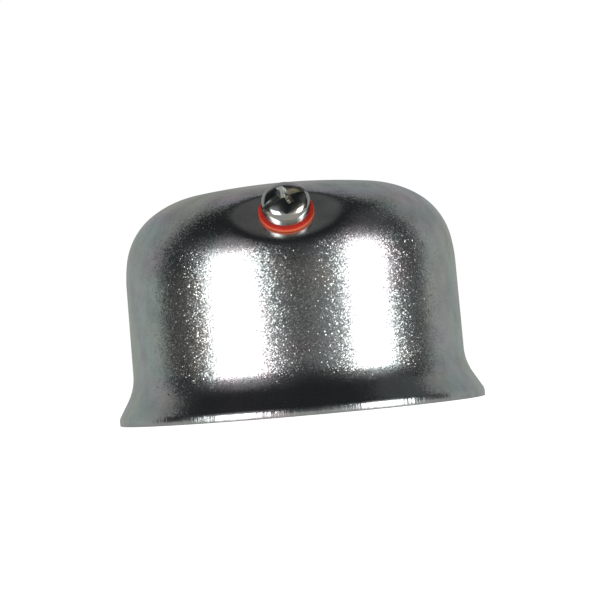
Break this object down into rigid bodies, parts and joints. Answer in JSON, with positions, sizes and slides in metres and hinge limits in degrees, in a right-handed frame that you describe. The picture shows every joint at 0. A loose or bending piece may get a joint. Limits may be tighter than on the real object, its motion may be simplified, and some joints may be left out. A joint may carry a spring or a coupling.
{
  "type": "carburettor float bowl",
  "caption": "Drawn steel float bowl with a flared mouth, a hole in its crown for the bowl bolt, and a drain screw on a fibre washer in a slanted flat.",
  "frame": {"origin": "centre of the mouth, in the plane of the lip's edge, which is the face the bowl stands on", "axes": "+Z along the bowl's axis from the mouth to the closed end; the drain flat and its screw face -Y and up; +X to the right when looking at the screw"},
  "size_m": [0.062, 0.062, 0.0386],
  "materials": {
    "zinc_plated_shell": "bright zinc plate over drawn steel, finely grained",
    "zinc_plated_nut": "zinc plate, satin",
    "zinc_plated_screw": "bright zinc plate, smooth",
    "red_fibre": "vulcanised fibre, satin",
    "nitrile_rubber": "matt"
  },
  "bodies": {
    "bowl": {"bowl_shell": "zinc_plated_shell", "drain_nut": "zinc_plated_nut", "bowl_gasket": "nitrile_rubber"},
    "washer": {"drain_washer": "red_fibre"},
    "screw": {"drain_screw": "zinc_plated_screw"}
  },
  "joints": [
    {"name": "drain_travel", "type": "slide", "parent": "bowl", "child": "washer", "axis": [0, -0.766, 0.6428], "range_m": [0, 0.0063]},
    {"name": "drain_turn", "type": "hinge", "parent": "washer", "child": "screw", "pos_m": [0, -0.02343, 0.03271], "axis": [0, -0.766, 0.6428], "range_deg": [0, 3240]}
  ],
  "couplings": [
    {"joint": "drain_turn", "follows": "drain_travel", "rad_per_m": 8975.9}
  ]
}
